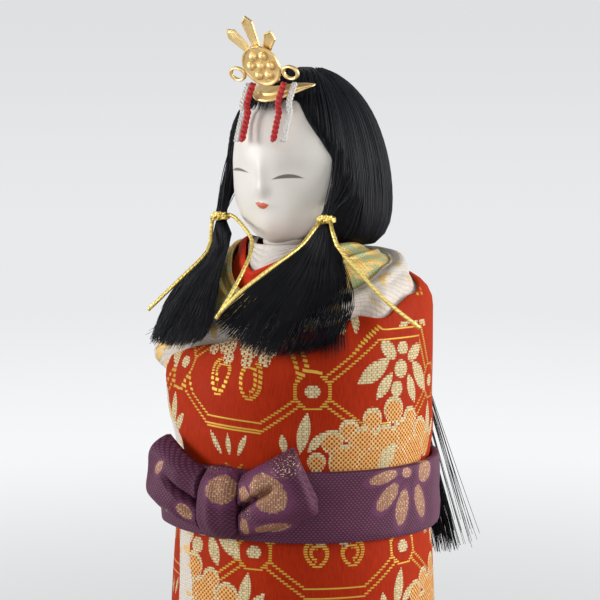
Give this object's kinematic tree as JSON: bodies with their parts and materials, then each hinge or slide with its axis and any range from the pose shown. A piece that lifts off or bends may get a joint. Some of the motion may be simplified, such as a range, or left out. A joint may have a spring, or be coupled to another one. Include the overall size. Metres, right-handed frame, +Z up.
{
  "type": "hina doll",
  "caption": "Standing court-lady display doll: wound brocade robes, sash with bow, white head that lifts off on its stick, tied side hair, gilt crown with cords.",
  "frame": {"origin": "on the floor under the axis of the body, in the middle of the foot's underside", "axes": "+Z up, the doll faces -Y, its left hand side is +X"},
  "size_m": [0.0795, 0.0813, 0.2007],
  "materials": {
    "pale_wood": "matte",
    "cream_brocade": "woven",
    "red_brocade": "woven",
    "green_brocade": "woven",
    "red_silk": "satin",
    "white_silk": "pleated",
    "purple_brocade": "woven",
    "white_lacquer": "shell-white lacquer",
    "hair": "silky strands",
    "gold_cord": "metallic wrap",
    "gilt": "satin",
    "red_cord": "braided",
    "white_cord": "braided"
  },
  "bodies": {
    "body": {"body_core": "pale_wood", "base_disc": "pale_wood", "robe_under": "cream_brocade", "robe_outer": "red_brocade", "collar_green": "green_brocade", "collar_red": "red_silk", "neck_wrap": "white_silk", "sash": "purple_brocade", "bow_knot": "purple_brocade", "bow_wing_left": "purple_brocade", "bow_wing_right": "purple_brocade"},
    "head": {"head": "white_lacquer", "neck_stick": "pale_wood", "hair_cap": "hair", "side_lock_left": "hair", "side_lock_right": "hair", "tassel_left": "hair", "tassel_right": "hair", "hair_tail": "hair", "tie_knot_left": "gold_cord", "tie_knot_right": "gold_cord", "tie_cord_left_inner": "gold_cord", "tie_cord_left_outer": "gold_cord", "tie_cord_right_inner": "gold_cord", "tie_cord_right_outer": "gold_cord"},
    "crown": {"crown_disc": "gilt", "crown_blades": "gilt", "crown_band": "gilt", "crown_post": "gilt", "crown_loop_left": "gilt", "crown_loop_right": "gilt", "crown_cord_red_left": "red_cord", "crown_cord_red_right": "red_cord", "crown_cord_white_left": "white_cord", "crown_cord_white_right": "white_cord"}
  },
  "joints": [
    {"name": "head_lift", "type": "slide", "parent": "body", "child": "head", "axis": [0, 0, 1], "range_m": [0, 0.034]},
    {"name": "crown_pull", "type": "slide", "parent": "head", "child": "crown", "axis": [0, -0.5, 0.866], "range_m": [0, 0.014]}
  ]
}
